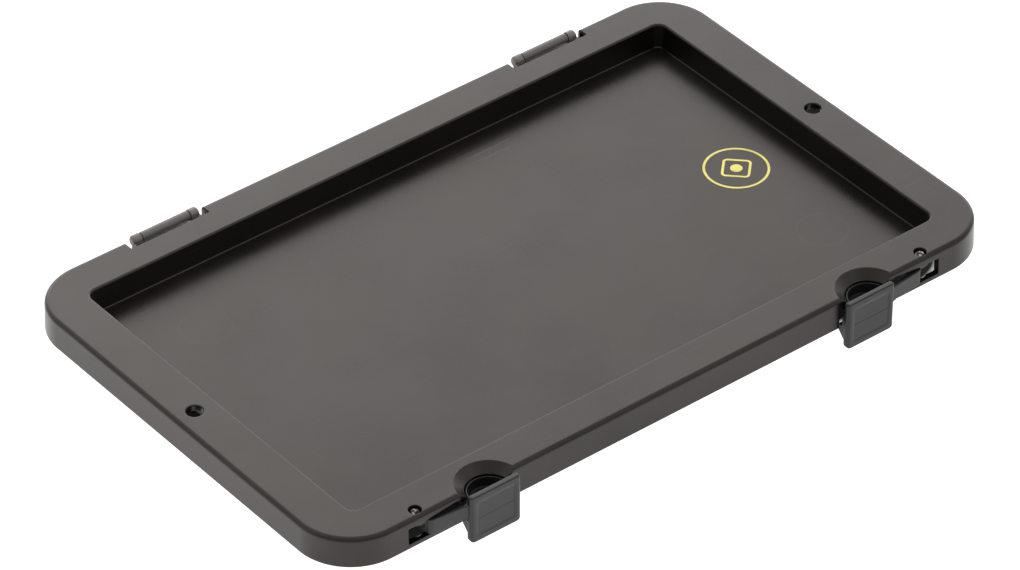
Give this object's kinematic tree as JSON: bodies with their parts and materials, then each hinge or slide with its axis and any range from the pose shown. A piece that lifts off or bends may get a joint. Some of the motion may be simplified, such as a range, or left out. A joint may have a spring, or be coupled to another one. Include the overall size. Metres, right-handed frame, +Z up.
{
  "type": "hinged container lid",
  "caption": "Rectangular hinged lid for a stacking container: deep rim, recessed top, sprung snap latches at the front and turning container clips at the back.",
  "frame": {"origin": "middle of the footprint, on the plane the part rests on, which is the lower edge of the latch plates", "axes": "+X along the long side to the right seen from the latches, +Y from the latches to the hinges, +Z up out of the recessed top"},
  "size_m": [0.299, 0.1924, 0.0204],
  "materials": {
    "panel_plastic": "warm dark grey moulded plastic, satin with a fine grain",
    "fitting_plastic": "cool dark grey moulded plastic, satin",
    "pin_steel": "drawn steel wire, bright"
  },
  "bodies": {
    "lid": {"lid_panel": "panel_plastic", "latch_pin_left": "pin_steel", "latch_pin_right": "pin_steel", "hinge_pin_left": "pin_steel", "hinge_pin_right": "pin_steel"},
    "left_latch": {"latch_left": "fitting_plastic"},
    "right_latch": {"latch_right": "fitting_plastic"},
    "left_clip": {"hinge_clip_left": "fitting_plastic"},
    "right_clip": {"hinge_clip_right": "fitting_plastic"}
  },
  "joints": [
    {"name": "left_latch_swing", "type": "hinge", "parent": "lid", "child": "left_latch", "pos_m": [-0.1141, -0.08855, 0.0105], "axis": [0, 0, -1], "range_deg": [0, 10], "stiffness_Nm_per_rad": 1.2},
    {"name": "right_latch_swing", "type": "hinge", "parent": "lid", "child": "right_latch", "pos_m": [0.1141, -0.08855, 0.0105], "axis": [0, 0, 1], "range_deg": [0, 10], "stiffness_Nm_per_rad": 1.2},
    {"name": "left_clip_turn", "type": "hinge", "parent": "lid", "child": "left_clip", "pos_m": [-0.0855, 0.09395, 0.0181], "axis": [1, 0, 0], "range_deg": [0, 230]},
    {"name": "right_clip_turn", "type": "hinge", "parent": "lid", "child": "right_clip", "pos_m": [0.0893, 0.09395, 0.0181], "axis": [1, 0, 0], "range_deg": [0, 230]}
  ]
}
